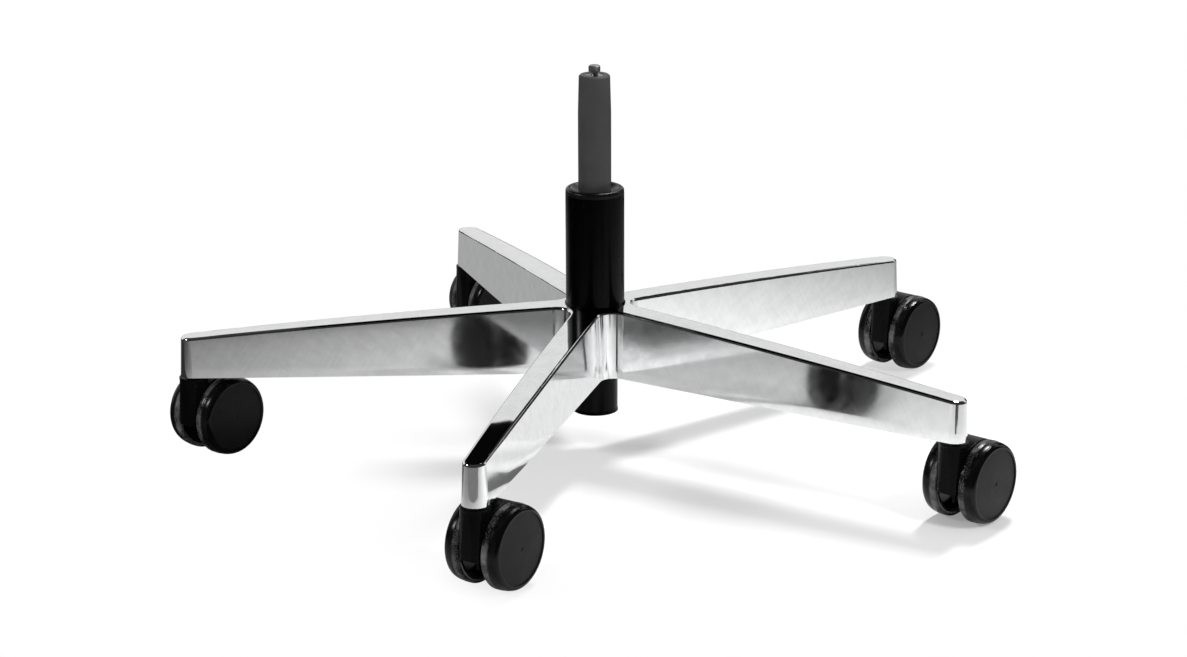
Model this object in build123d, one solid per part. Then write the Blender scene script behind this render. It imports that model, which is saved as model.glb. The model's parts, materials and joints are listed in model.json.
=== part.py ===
from build123d import *
import os
from math import cos, radians, sin, sqrt, tan

# Swivel chair base: a cast five-leg star, a telescopic gas column and five twin-wheel casters.
# Millimetres, +Z up. The origin is where the column axis meets the floor.
# Leg 1 points along -Y, and the legs are numbered anticlockwise seen from above.

# Star casting
leg_count = 5
first_leg_azimuth = -90.0
tip_reach = 344.8
leg_half_width_hub = 14.5
leg_half_width_tip = 10.8
leg_bow_radius = 16000.0
side_draft = 2.5
leg_clearance = 5.0
hub_height = 60.2
tip_height = 33.8
top_line_rise = 2.0
notch_radius = 12.5
top_edge_radius = 2.4
side_wall = 3.6
roof_wall = 5.0
hub_boss_radius = 35.0
tip_boss_length = 20.0
rib_count = 5
rib_thickness = 3.0
rib_set_back = 5.0
bead_seat_drop = 1.7
bead_seat_gap = 0.3

# Column tube
tube_radius = 25.0
tube_wall = 1.5
tube_top_z = 229.7
hub_taper_angle = 1.44
neck_radius = 19.2
neck_wall = 1.6
neck_bottom_z = 36.6
neck_flare = 0.5
neck_flare_height = 3.0
shoulder_z = 81.0
shoulder_height = 5.5
bead_height = 2.4
bead_radius = 25.9
end_plate_z = 40.0
end_plate_thickness = 3.5
stake_pair_count = 3
stake_pair_azimuth = -104.4
stake_spread = 24.3
stake_width = 5.2
stake_height = 7.0
stake_corner = 1.2
stake_depth = 0.9
stake_slope = 40.0
stake_below_top = 6.2

# Guide bush inside the column tube, with its collar on the tube's top edge
bush_length = 90.0
bush_skin = 3.0
bush_rib_count = 8
bush_rib_thickness = 2.4
collar_height = 5.0
collar_set_back = 0.1
collar_edge_radius = 2.6
collar_groove_radius = 21.6
collar_groove_width = 0.9
collar_groove_depth = 1.0
collar_bowl_radius = 20.2
collar_bowl_depth = 2.6
collar_bowl_land = 1.5

# Thrust bearing at the foot of the rod
race_thickness = 1.8
race_outer_radius = 12.5
race_hole_clearance = 0.4
ball_count = 9
ball_radius = 1.75
ball_circle_radius = 8.5
ball_play = 0.1
race_groove_depth = 0.35
cage_thickness = 1.6
cage_rim = 1.0

# Piston rod and bump stop
rod_radius = 5.0
rod_foot_radius = 4.0
rod_foot_bottom_z = 37.4
piston_z = 182.0
piston_height = 8.0
piston_play = 0.08
piston_groove = 1.5
clip_thickness = 1.2
clip_outer_radius = 8.0
clip_groove_depth = 0.9
clip_gap = 4.0
clip_play = 0.1
rivet_height = 1.5
rivet_bevel = 1.0
bump_stop_height = 9.4
bump_stop_radius = 12.0
bump_stop_waist = 1.5

# Gas cylinder with its seat taper
cylinder_radius = 14.0
cylinder_wall = 1.5
cylinder_bottom_z = 116.0
taper_bottom_z = 300.0
taper_length = 32.0
taper_per_length = 1 / 40
taper_chamfer = 1.2
cylinder_roof = 14.0
valve_neck_radius = 8.0
valve_length = 22.0
valve_recess = 0.5
rod_guide_length = 15.0
rod_guide_inset = 0.8
button_pin_radius = 3.0
button_head_radius = 5.0
button_head_height = 5.0
button_bevel = 1.0
button_gap = 3.5
button_pin_length = 16.0
button_overrun = 4.0

# Clearances
running_clearance = 0.05
press_clearance = 0.02
cut_margin = 5.0

# Caster
caster_headings = (71.6, 65.8, 65.8, 52.0, 64.5)
wheel_radius = 34.5
caster_trail = 25.0
wheel_inner_face = 10.6
tread_width = 11.0
tread_depth = 3.6
tread_corner = 1.2
tread_seat_inset = 0.4
shoulder_drop = 1.2
shoulder_reach = 3.8
lip_radius = 29.9
lip_width = 0.8
cap_recess = 0.7
cap_thickness = 1.8
cap_crown = 0.6
cap_crown_fullness = 0.75
cap_dimple_radius = 1.6
cap_dimple_depth = 0.4
cap_ledge = 1.6
wheel_hub_radius = 8.0
wheel_side_play = 0.4
wheel_rim_wall = 2.4
wheel_web_thickness = 3.0
axle_radius = 4.0
axle_inset = 1.5
stem_radius = 5.5
stem_bevel = 1.0
stem_grip_length = 22.0
stem_socket_spare = 1.6
stem_barrel_length = 26.0
ring_groove_depth = 0.8
ring_height = 3.0
ring_from_top = 5.0
ring_slot = 2.0

# Caster body
web_gap = 0.6
hood_radius = 34.2
hood_edge = 1.6
hood_floor_z = 19.5
hood_front = 14.0
barrel_reach = 12.0
barrel_corner = 6.0
barrel_floor_z = 31.0
barrel_radius_low = 13.4
barrel_radius_high = 12.0
front_web_start = 2.0
front_web_thickness = 2.4
rim_radius = 12.2
rim_clearance = 1.3
rim_height = 2.0
rim_flare = 2.0
rim_dish = 1.3
rim_dish_land = 1.5
rim_flat = 0.8
rim_bevel = 0.4
stem_end_play = 0.3

# Values worked out from the ones above
leg_azimuths = [first_leg_azimuth + 360.0 / leg_count * i for i in range(leg_count)]
underside_z = 2 * wheel_radius + leg_clearance
hub_top_z = underside_z + hub_height
tip_top_z = underside_z + tip_height
bead_seat_z = hub_top_z - bead_seat_drop
casting_height = hub_height + top_line_rise + cut_margin
tube_inner = tube_radius - tube_wall
neck_inner = neck_radius - neck_wall
plate_top_z = end_plate_z + end_plate_thickness
cylinder_bore = cylinder_radius - cylinder_wall
taper_top_z = taper_bottom_z + taper_length
valve_seat_z = taper_top_z - cylinder_roof
clip_top_z = end_plate_z - clip_play
valve_top_z = taper_top_z - valve_recess
lower_race_top_z = plate_top_z + race_thickness
ball_centre_z = lower_race_top_z - race_groove_depth + ball_play + ball_radius
upper_race_z = ball_centre_z + ball_radius + ball_play - race_groove_depth
upper_race_top_z = upper_race_z + race_thickness
wheel_bore = axle_radius + running_clearance
tread_outer_face = wheel_inner_face + tread_width
lip_face = tread_outer_face + shoulder_reach
cap_face = lip_face - cap_recess
cap_seat = cap_face - cap_thickness
web_half = wheel_inner_face - web_gap
rim_top_z = underside_z - rim_clearance


def at_leg(index, piece):
    """Turn a piece modelled along +X onto the leg with this index."""
    return Rot(0, 0, leg_azimuths[index]) * piece


def turned(points, axis=Axis.Z):
    """Solid of revolution from (radius, height) points joined by straight lines."""
    profile = make_face(Plane.XZ * Polyline(*points, close=True))
    return revolve(profile, axis=axis)


def ring(inner, outer, bottom, top):
    """Plain round ring about the column axis."""
    return Pos(0, 0, bottom) * (
        extrude(Circle(outer), top - bottom) - extrude(Circle(inner), top - bottom)
    )


def taper_radius(z):
    """Radius of the column's hub taper at a height."""
    return tube_radius - (bead_seat_z - z) * tan(radians(hub_taper_angle))


# Star casting

def leg_plan(inset, start, end):
    """Plan of one leg along +X: long bowed sides that run into a round tip without a corner."""
    hub = Vector(start, inset - leg_half_width_hub)
    tip = Vector(end, 0)
    tip_radius = leg_half_width_tip - inset
    span = (tip - hub).length
    along = (leg_bow_radius ** 2 - (leg_bow_radius - tip_radius) ** 2 + span ** 2) / (2 * span)
    across = sqrt(leg_bow_radius ** 2 - along ** 2)
    forward = (tip - hub).normalized()
    centre = hub + forward * along + Vector(-forward.Y, forward.X) * across
    meet = tip + (tip - centre).normalized() * tip_radius
    middle = centre + ((hub + meet) / 2 - centre).normalized() * leg_bow_radius
    right = ThreePointArc(hub, middle, meet)
    nose = ThreePointArc(meet, (end + tip_radius, 0), (meet.X, -meet.Y))
    left = ThreePointArc((meet.X, -meet.Y), (middle.X, -middle.Y), (hub.X, -hub.Y))
    back = Line((hub.X, -hub.Y), hub)
    return make_face([right, nose, left, back])


def under_top_line(drop):
    """Everything below the legs' convex top line, lowered by a distance."""
    reach = tip_reach + leg_half_width_tip + cut_margin
    hub = hub_top_z - drop
    tip = tip_top_z - drop
    low = underside_z - cut_margin
    top = ThreePointArc((0, hub), (reach / 2, (hub + tip) / 2 + top_line_rise), (reach, tip))
    sides = Polyline((reach, tip), (reach, low), (0, low), (0, hub))
    return revolve(make_face(Plane.XZ * Curve([top, sides])), axis=Axis.Z)


def leg_solid(inset, start, end, bottom_z):
    """One drafted leg or pocket, open height, along +X."""
    plan = Pos(0, 0, bottom_z) * leg_plan(inset, start, end)
    return extrude(plan, casting_height, dir=(0, 0, 1), taper=side_draft)


def leg_pocket():
    """Hollow under one leg, with the cross ribs left standing."""
    start = hub_boss_radius
    end = tip_reach - tip_boss_length
    pocket = leg_solid(side_wall, start, end, underside_z)
    pocket = pocket & under_top_line(roof_wall)
    pitch = (end - start) / (rib_count + 1)
    for i in range(1, rib_count + 1):
        rib = Box(rib_thickness, 2 * leg_half_width_hub, casting_height,
                  align=(Align.CENTER, Align.CENTER, Align.MIN))
        pocket -= Pos(start + i * pitch, 0, underside_z + rib_set_back) * rib
    return pocket


def star_outline():
    """Plan of the whole star at its underside, with rounded notches between the legs."""
    plan = Sketch() + [Rot(0, 0, azimuth) * leg_plan(0.0, 0.0, tip_reach) for azimuth in leg_azimuths]
    notches = plan.vertices().sort_by(lambda corner: corner.center().length)[:leg_count]
    return fillet(notches, notch_radius)


def star_base():
    """Five drafted legs in one casting, with a tapered hub bore and caster sockets."""
    outline = Pos(0, 0, underside_z) * star_outline()
    body = extrude(outline, casting_height, dir=(0, 0, 1), taper=side_draft)
    body = body & under_top_line(0.0)
    top = body.faces().sort_by(Axis.Z)[-1].edges()
    body = fillet(top, top_edge_radius)
    for i in range(leg_count):
        socket = Pos(tip_reach, 0, underside_z) * extrude(
            Circle(stem_radius), stem_grip_length + stem_socket_spare)
        body -= at_leg(i, leg_pocket())
        body -= at_leg(i, socket)
    below = underside_z - cut_margin
    above = hub_top_z + cut_margin
    body -= turned([(0, below), (taper_radius(below), below), (taper_radius(above), above), (0, above)])
    spot_face = extrude(Circle(bead_radius + bead_seat_gap), bead_seat_drop + cut_margin)
    return body - Pos(0, 0, bead_seat_z) * spot_face


# Column tube, bush and bearing

def column_tube():
    """Tube with a bead on the hub, a taper in the hub, a closed neck below it and stakes for the bush."""
    shoulder_top = shoulder_z + shoulder_height
    wall = [
        (neck_inner, neck_bottom_z),
        (neck_radius + neck_flare, neck_bottom_z),
        (neck_radius, neck_bottom_z + neck_flare_height),
        (neck_radius, shoulder_z),
        (taper_radius(shoulder_top), shoulder_top),
        (taper_radius(bead_seat_z), bead_seat_z),
        (bead_radius, bead_seat_z),
        (bead_radius, bead_seat_z + bead_height / 2),
        (tube_radius, bead_seat_z + bead_height),
        (tube_radius, tube_top_z),
        (tube_inner, tube_top_z),
        (tube_inner, shoulder_top + shoulder_height),
        (neck_inner, shoulder_z),
    ]
    tube = turned(wall)
    tube += ring(rod_foot_radius + race_hole_clearance, neck_inner, end_plate_z, plate_top_z)
    for azimuth in stake_azimuths():
        tube -= Rot(0, 0, azimuth) * stake_dent()
    return tube


def stake_azimuths():
    """Directions of the dents, in pairs evenly round the tube."""
    pairs = [stake_pair_azimuth + 360.0 / stake_pair_count * i for i in range(stake_pair_count)]
    return [pair + side * stake_spread / 2 for pair in pairs for side in (-1, 1)]


def stake_dent():
    """Tool of one dent on the +X side: a rounded rectangle that narrows towards the column axis."""
    sloped = stake_depth + collar_set_back
    centre_z = tube_top_z - stake_below_top
    mouth = Plane((tube_radius + collar_set_back, 0, centre_z), x_dir=(0, 1, 0), z_dir=(-1, 0, 0))
    outline = mouth * RectangleRounded(stake_width, stake_height, stake_corner)
    return extrude(outline, sloped, taper=stake_slope)


def guide_bush():
    """Plastic bush: sleeve and outer ring joined by ribs, under a rounded collar with a ring groove."""
    top = tube_top_z + collar_height
    bottom = tube_top_z - bush_length
    hole = cylinder_radius + running_clearance
    outer = tube_inner - press_clearance
    bush = ring(hole, hole + bush_skin, bottom, tube_top_z)
    bush += ring(outer - bush_skin, outer, bottom, tube_top_z)
    for i in range(bush_rib_count):
        rib = Pos(hole + bush_skin / 2, 0, bottom) * Box(
            outer - hole - bush_skin, bush_rib_thickness, bush_length,
            align=(Align.MIN, Align.CENTER, Align.MIN))
        bush += Rot(0, 0, 360.0 / bush_rib_count * i) * rib
    collar = ring(hole, tube_radius - collar_set_back, tube_top_z, top)
    edge = collar.edges().filter_by(GeomType.CIRCLE).group_by(Axis.Z)[-1].sort_by(SortBy.RADIUS)[-1]
    collar = fillet(edge, collar_edge_radius)
    collar -= ring(collar_groove_radius - collar_groove_width / 2,
                   collar_groove_radius + collar_groove_width / 2, top - collar_groove_depth, top)
    bowl_foot = hole + collar_bowl_land
    collar -= turned([(0, top - collar_bowl_depth), (bowl_foot, top - collar_bowl_depth),
                      (collar_bowl_radius, top), (0, top)])
    return bush + collar


def raceway(bottom, hole):
    """Flat bearing washer with a ball groove cut by the ring that the balls run in."""
    washer = ring(hole, race_outer_radius, bottom, bottom + race_thickness)
    return washer - Pos(0, 0, ball_centre_z) * Torus(ball_circle_radius, ball_radius + ball_play)


def lower_race():
    return raceway(plate_top_z, rod_foot_radius + race_hole_clearance)


def upper_race():
    return raceway(upper_race_z, rod_foot_radius + press_clearance)


def ball_spots():
    """Centres of the bearing balls."""
    return PolarLocations(ball_circle_radius, ball_count)


def thrust_balls():
    """The loose balls, one group of separate solids."""
    return Pos(0, 0, ball_centre_z) * Compound([spot * Sphere(ball_radius) for spot in ball_spots()])


def ball_cage():
    """Ring that keeps the balls apart."""
    reach = ball_radius + cage_rim
    cage = ring(ball_circle_radius - reach, ball_circle_radius + reach,
                ball_centre_z - cage_thickness / 2, ball_centre_z + cage_thickness / 2)
    pockets = [Pos(0, 0, ball_centre_z) * spot * Cylinder(ball_radius + press_clearance, 2 * cage_thickness)
               for spot in ball_spots()]
    return cage - pockets


def bump_stop():
    """Rubber buffer on the upper washer, with a waist and a bevelled top."""
    bottom = upper_race_top_z
    top = bottom + bump_stop_height
    hole = rod_radius + press_clearance
    return turned([
        (hole, bottom),
        (bump_stop_radius, bottom),
        (bump_stop_radius, bottom + bump_stop_height * 0.3),
        (bump_stop_radius - bump_stop_waist, bottom + bump_stop_height * 0.5),
        (bump_stop_radius, bottom + bump_stop_height * 0.7),
        (bump_stop_radius - bump_stop_waist, top),
        (hole, top),
    ])


# Piston rod, gas cylinder and release button

def piston_rod():
    """Rod on the bearing, with a grooved foot for the clip and a grooved piston riveted on top."""
    clip_bottom = clip_top_z - clip_thickness
    core = rod_foot_radius - clip_groove_depth
    piston_radius = cylinder_bore - piston_play
    piston_top = piston_z + piston_height
    groove_low = piston_z + (piston_height - piston_groove) / 2
    return turned([
        (0, rod_foot_bottom_z),
        (rod_foot_radius, rod_foot_bottom_z),
        (rod_foot_radius, clip_bottom),
        (core, clip_bottom),
        (core, clip_top_z),
        (rod_foot_radius, clip_top_z),
        (rod_foot_radius, upper_race_top_z),
        (rod_radius, upper_race_top_z),
        (rod_radius, piston_z),
        (piston_radius, piston_z),
        (piston_radius, groove_low),
        (piston_radius - piston_groove, groove_low),
        (piston_radius - piston_groove, groove_low + piston_groove),
        (piston_radius, groove_low + piston_groove),
        (piston_radius, piston_top),
        (rod_foot_radius, piston_top),
        (rod_foot_radius - rivet_bevel, piston_top + rivet_height),
        (0, piston_top + rivet_height),
    ])


def retaining_clip():
    """Open spring clip in the rod's foot groove, under the tube's end plate."""
    inner = rod_foot_radius - clip_groove_depth
    clip = ring(inner, clip_outer_radius, clip_top_z - clip_thickness, clip_top_z)
    slot = Box(2 * clip_outer_radius, clip_gap, 3 * clip_thickness,
               align=(Align.MIN, Align.CENTER, Align.CENTER))
    return clip - Pos(0, 0, clip_top_z) * slot


def gas_cylinder():
    """Gas spring cylinder: straight below, seat taper above, open at the foot and necked at the top."""
    taper_drop = taper_length * taper_per_length
    return turned([
        (cylinder_bore, cylinder_bottom_z),
        (cylinder_radius - rod_guide_inset, cylinder_bottom_z),
        (cylinder_radius, cylinder_bottom_z + rod_guide_inset),
        (cylinder_radius, taper_bottom_z),
        (cylinder_radius - taper_drop, taper_top_z - taper_chamfer),
        (cylinder_radius - taper_drop - taper_chamfer, taper_top_z),
        (valve_neck_radius, taper_top_z),
        (valve_neck_radius, valve_seat_z),
        (cylinder_bore, valve_seat_z),
    ])


def rod_guide():
    """Guide and seal at the cylinder's foot, round the rod."""
    outer = cylinder_bore - press_clearance
    bottom = cylinder_bottom_z + rod_guide_inset
    return ring(rod_radius + running_clearance, outer, bottom, bottom + rod_guide_length)


def valve_body():
    """Release valve under the cylinder's neck, with a blind hole for the button's pin."""
    neck = valve_neck_radius - press_clearance
    outer = cylinder_bore - press_clearance
    hole = button_pin_radius + running_clearance
    hole_bottom = valve_top_z + button_gap - button_pin_length - button_overrun
    return turned([
        (0, valve_seat_z - valve_length),
        (outer, valve_seat_z - valve_length),
        (outer, valve_seat_z),
        (neck, valve_seat_z),
        (neck, valve_top_z),
        (hole, valve_top_z),
        (hole, hole_bottom),
        (0, hole_bottom),
    ])


def release_button():
    """Button that opens the valve: a pin with a domed head."""
    head_bottom = valve_top_z + button_gap
    head_top = head_bottom + button_head_height
    return turned([
        (0, head_bottom - button_pin_length),
        (button_pin_radius, head_bottom - button_pin_length),
        (button_pin_radius, head_bottom),
        (button_head_radius, head_bottom),
        (button_head_radius, head_top - button_bevel),
        (button_head_radius - button_bevel, head_top),
        (0, head_top),
    ])


# Casters, each modelled with its stem on the Z axis and its axle behind it along +X

def at_caster(index, piece):
    """Put a caster piece under its leg, turned to its heading."""
    azimuth = radians(leg_azimuths[index])
    spot = Pos(tip_reach * cos(azimuth), tip_reach * sin(azimuth), 0)
    return spot * Rot(0, 0, caster_headings[index]) * piece


def stem_bottom_z():
    return underside_z - stem_barrel_length


def stem():
    """Steel stem, bevelled at both ends, with a groove for its grip ring."""
    bottom = stem_bottom_z()
    top = underside_z + stem_grip_length
    ring_top = top - ring_from_top
    core = stem_radius - ring_groove_depth
    outer = stem_radius - press_clearance
    return turned([
        (0, bottom),
        (outer - stem_bevel, bottom),
        (outer, bottom + stem_bevel),
        (outer, ring_top - ring_height),
        (core, ring_top - ring_height),
        (core, ring_top),
        (outer, ring_top),
        (outer, top - stem_bevel),
        (outer - stem_bevel, top),
        (0, top),
    ])


def grip_ring():
    """Split spring ring that holds the stem in its socket."""
    ring_top = underside_z + stem_grip_length - ring_from_top
    whole = ring(stem_radius - ring_groove_depth, stem_radius, ring_top - ring_height, ring_top)
    slot = Box(2 * stem_radius, ring_slot, 3 * ring_height,
               align=(Align.MIN, Align.CENTER, Align.CENTER))
    return whole - Pos(0, 0, ring_top) * slot


def hood():
    """Round guard between the wheels, open in front under the barrel but for a thin web."""
    guard = Pos(caster_trail, 0, wheel_radius) * Rot(90, 0, 0) * Cylinder(hood_radius, 2 * web_half)
    guard = fillet(guard.edges().filter_by(GeomType.CIRCLE), hood_edge)
    reach = caster_trail + hood_radius + cut_margin
    upright = (Align.MIN, Align.CENTER, Align.MIN)
    keep = Pos(0, 0, barrel_floor_z) * Box(reach, 4 * web_half, 4 * hood_radius, align=upright)
    keep += Pos(hood_front, 0, hood_floor_z) * Box(reach, 4 * web_half, 4 * hood_radius, align=upright)
    keep += Pos(front_web_start, 0, hood_floor_z) * Box(
        hood_front, front_web_thickness, 2 * (barrel_floor_z - hood_floor_z), align=upright)
    return guard & keep


def barrel():
    """Squarish upright barrel round the stem, narrowing into a round rim with a dished top."""
    rim_low_z = rim_top_z - rim_height
    height = rim_low_z - barrel_floor_z
    section = Pos(0, 0, barrel_floor_z) * RectangleRounded(2 * barrel_reach, 2 * web_half, barrel_corner)
    post = extrude(section, height) & Pos(0, 0, barrel_floor_z) * Cone(
        barrel_radius_low, barrel_radius_high, height, align=(Align.CENTER, Align.CENTER, Align.MIN))
    rim = turned([
        (0, rim_low_z - rim_flare),
        (barrel_radius_high - rim_flat, rim_low_z - rim_flare),
        (rim_radius, rim_low_z),
        (rim_radius, rim_top_z - rim_bevel),
        (rim_radius - rim_bevel, rim_top_z),
        (rim_radius - rim_flat - rim_bevel, rim_top_z),
        (stem_radius + rim_dish_land, rim_top_z - rim_dish),
        (0, rim_top_z - rim_dish),
    ])
    return post + rim


def caster_body():
    """Moulded body: hood and barrel, bored for the stem and the axle."""
    bore_bottom = stem_bottom_z() - stem_end_play
    body = hood() + barrel()
    body -= Pos(0, 0, bore_bottom) * extrude(Circle(stem_radius + running_clearance), 2 * underside_z)
    return body - axle_rod(press_clearance, 4 * web_half)


def axle_rod(margin, length):
    """Round rod along the axle line."""
    return Pos(caster_trail, 0, wheel_radius) * Rot(90, 0, 0) * Cylinder(axle_radius + margin, length)


def axle():
    return axle_rod(0.0, 2 * (cap_seat - axle_inset))


def on_wheel(side, piece):
    """Turn a piece revolved about Z, outboard upwards, onto the axle on one side (+1 left, -1 right)."""
    return Pos(caster_trail, 0, wheel_radius) * Rot(-90 * side, 0, 0) * piece


def wheel_core(side):
    """Hard wheel: hub, thin web, tread seat and a rounded outer shoulder that ends in the cap's lip."""
    seat = wheel_radius - tread_depth
    shoulder = wheel_radius - shoulder_drop
    inner_rim = seat - wheel_rim_wall
    cap_hole = lip_radius - lip_width
    web_low = tread_outer_face - wheel_web_thickness
    seat_end = wheel_inner_face + tread_seat_inset
    hub_end = web_half + wheel_side_play
    outline = Polyline(
        (tread_outer_face, shoulder), (tread_outer_face, seat), (seat_end, seat),
        (seat_end, inner_rim), (web_low, inner_rim), (web_low, wheel_hub_radius),
        (hub_end, wheel_hub_radius), (hub_end, wheel_bore), (cap_seat, wheel_bore),
        (cap_seat, wheel_hub_radius), (tread_outer_face, wheel_hub_radius),
        (tread_outer_face, cap_hole - cap_ledge), (cap_seat, cap_hole - cap_ledge),
        (cap_seat, cap_hole), (lip_face, cap_hole), (lip_face, lip_radius))
    rounding = EllipticalCenterArc(
        (tread_outer_face, lip_radius), shoulder_reach, shoulder - lip_radius, start_angle=0, arc_size=90)
    profile = Plane((0, 0, 0), x_dir=(0, 0, 1), z_dir=(0, 1, 0)) * make_face([outline, rounding])
    return on_wheel(side, revolve(profile, axis=Axis.Z))


def tread(side):
    """Soft tread band with rounded corners on the wheel's seat."""
    seat = wheel_radius - tread_depth
    band = ring(seat, wheel_radius, wheel_inner_face, tread_outer_face)
    outer = band.edges().filter_by(GeomType.CIRCLE).group_by(SortBy.RADIUS)[-1]
    return on_wheel(side, fillet(outer, tread_corner))


def wheel_cap(side):
    """Slightly crowned disc let into the wheel's lip, with a small centre dimple."""
    edge = lip_radius - lip_width - press_clearance
    peak = cap_face + cap_crown
    outline = Polyline((0, cap_seat), (edge, cap_seat), (edge, cap_face))
    crown = ThreePointArc((edge, cap_face), (edge / 2, cap_face + cap_crown_fullness * cap_crown), (0, peak))
    middle = Line((0, peak), (0, cap_seat))
    cap = revolve(Plane.XZ * make_face([outline, crown, middle]), axis=Axis.Z)
    dimple = Pos(0, 0, peak) * Cylinder(cap_dimple_radius, 2 * cap_dimple_depth)
    return on_wheel(side, cap - dimple)


def caster_parts(index):
    """The separate pieces of one caster, by name."""
    number = index + 1
    pieces = {
        f"caster{number}_stem": stem(),
        f"caster{number}_body": caster_body(),
        f"caster{number}_axle": axle(),
    }
    for word, side in (("left", 1), ("right", -1)):
        pieces[f"caster{number}_wheel_{word}"] = wheel_core(side)
        pieces[f"caster{number}_tread_{word}"] = tread(side)
        pieces[f"caster{number}_cap_{word}"] = wheel_cap(side)
    return {name: at_caster(index, piece) for name, piece in pieces.items()}


def all_parts():
    """Every piece of the chair base, by name."""
    parts = {
        "star_base": star_base(),
        "column_tube": column_tube(),
        "guide_bush": guide_bush(),
        "lower_race": lower_race(),
        "thrust_balls": thrust_balls(),
        "ball_cage": ball_cage(),
        "upper_race": upper_race(),
        "bump_stop": bump_stop(),
        "piston_rod": piston_rod(),
        "retaining_clip": retaining_clip(),
        "gas_cylinder": gas_cylinder(),
        "rod_guide": rod_guide(),
        "valve_body": valve_body(),
        "release_button": release_button(),
        "stem_grip_rings": Compound([at_caster(i, grip_ring()) for i in range(leg_count)]),
    }
    for i in range(leg_count):
        parts.update(caster_parts(i))
    return parts


if __name__ == "__main__":
    os.makedirs("parts", exist_ok=True)
    for name, shape in all_parts().items():
        export_step(shape, os.path.join("parts", name + ".step"))
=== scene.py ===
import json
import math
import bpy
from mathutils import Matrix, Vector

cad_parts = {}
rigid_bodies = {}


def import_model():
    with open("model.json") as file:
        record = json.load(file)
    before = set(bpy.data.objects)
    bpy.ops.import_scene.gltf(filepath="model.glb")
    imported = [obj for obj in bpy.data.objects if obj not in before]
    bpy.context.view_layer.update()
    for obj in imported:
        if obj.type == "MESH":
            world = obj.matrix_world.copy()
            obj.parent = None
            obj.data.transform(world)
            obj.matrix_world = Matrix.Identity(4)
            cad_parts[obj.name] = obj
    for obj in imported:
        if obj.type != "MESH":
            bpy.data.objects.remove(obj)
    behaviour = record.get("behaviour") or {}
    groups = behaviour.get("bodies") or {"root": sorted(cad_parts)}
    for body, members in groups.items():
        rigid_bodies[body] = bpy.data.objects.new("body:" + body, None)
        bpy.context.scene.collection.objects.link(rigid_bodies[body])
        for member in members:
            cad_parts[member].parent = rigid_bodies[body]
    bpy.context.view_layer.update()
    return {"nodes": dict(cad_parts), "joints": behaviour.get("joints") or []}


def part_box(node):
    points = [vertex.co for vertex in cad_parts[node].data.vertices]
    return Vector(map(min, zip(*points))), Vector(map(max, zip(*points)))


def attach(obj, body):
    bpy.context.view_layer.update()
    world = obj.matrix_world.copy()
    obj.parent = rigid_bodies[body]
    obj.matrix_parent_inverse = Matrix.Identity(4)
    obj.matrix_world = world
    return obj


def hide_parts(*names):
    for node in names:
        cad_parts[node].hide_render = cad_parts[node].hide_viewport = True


bl_info = {
    "name": "Swivel chair base",
    "version": (1, 0, 0),
    "blender": (4, 5, 0),
    "location": "3D View > Sidebar > Chair Base",
    "description": "Dresses the packed model of a five-leg chair base on casters",
    "category": "Object",
}

import bpy
from bpy.props import FloatProperty, FloatVectorProperty, IntProperty, PointerProperty
from mathutils import Matrix, Vector

for leftover in list(bpy.data.objects):
    bpy.data.objects.remove(leftover)
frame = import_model()

# Facts of the frame that marks and pieces are placed from, in metres
LEG_COUNT = 5
LEG_TURN = math.radians(360 / LEG_COUNT)
FIRST_LEG = math.radians(-90)
STAR_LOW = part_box("star_base")[0]
BALLS_LOW, BALLS_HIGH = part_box("thrust_balls")

# Polish marks: how they are squeezed along a leg, across it and upwards, and how far they slant
STREAK_STRETCH = (420.0, 420.0, 50.0)
RIPPLE_STRETCH = (95.0, 95.0, 9.0)
CLOUD_STRETCH = (60.0, 90.0, 110.0)
MARK_SLANT = 0.55

# Height of the strip along the lower edge of the legs' walls that the polish rolls in
EDGE_ROLL = 0.009

# Most values of a noise texture lie in this range
NOISE_RANGE = (0.3, 0.7)

# Colours of the plain materials
CHROME_COLOUR = (0.75, 0.75, 0.76)
ZINC_COLOUR = (0.6, 0.61, 0.62)
BEARING_COLOUR = (0.55, 0.55, 0.56)
BUSH_COLOUR = (0.003, 0.003, 0.003)
BUFFER_COLOUR = (0.015, 0.015, 0.015)
CAGE_COLOUR = (0.03, 0.03, 0.03)
BODY_COLOUR = (0.0015, 0.0015, 0.0015)
TYRE_COLOUR = (0.002, 0.002, 0.002)

# Facets of one bearing ball
BALL_SEGMENTS = 24
BALL_RINGS = 14

# The tyre's section, in metres out from the caster's middle plane and from the axle: the tread
# runs from the inner side to the seam, and the rounded shoulder from there to the wheel's lip.
# Its outer end and its radius are kept just small enough for the model's box.
TYRE_INNER = 0.0106
TYRE_SEAM = 0.0162
TYRE_SEAM_WIDTH = 0.0004
TYRE_OUTER = 0.02535
TYRE_LIP_WIDTH = 0.0008
TYRE_RADIUS = 0.03438
TYRE_STEP = 0.00025
TYRE_LIP = 0.02995
TYRE_SEAT = 0.0309
TYRE_CORNER = 0.0012
TYRE_FULLNESS = 2.3
TYRE_TURNS = 128
CORNER_STEPS = 4
SHOULDER_STEPS = 14

# Middle of the pool of light painted into the floor's colour that reflections see, right of the
# column
PAINTED_POOL_CENTRE = (0.27, -0.08, 0.0)

# Middle of the part of the floor where the camera sees shadows. They fade between the reach that
# is set and that reach times the fade, and further out the camera sees plain white.
SHADOW_CENTRE = (0.19, -0.02, 0.0)
SHADOW_FADE = 1.5

# Soft lamps: place from the camera's side (right, away, up), width, height, the setting with the
# power, and whether reflections show the lamp. They all shine at one point.
LAMPS = (
    ("rear lamp", (0.68, 1.05, 2.16), 0.3, 0.7, "rear_power", True),
    ("left lamp", (-1.76, -0.54, 1.2), 0.2, 0.42, "left_power", True),
    ("front lamp", (1.25, -1.15, 1.35), 0.35, 0.6, "front_power", False),
)
LAMP_TARGET = Vector((0.0, 0.0, 0.08))

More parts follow.
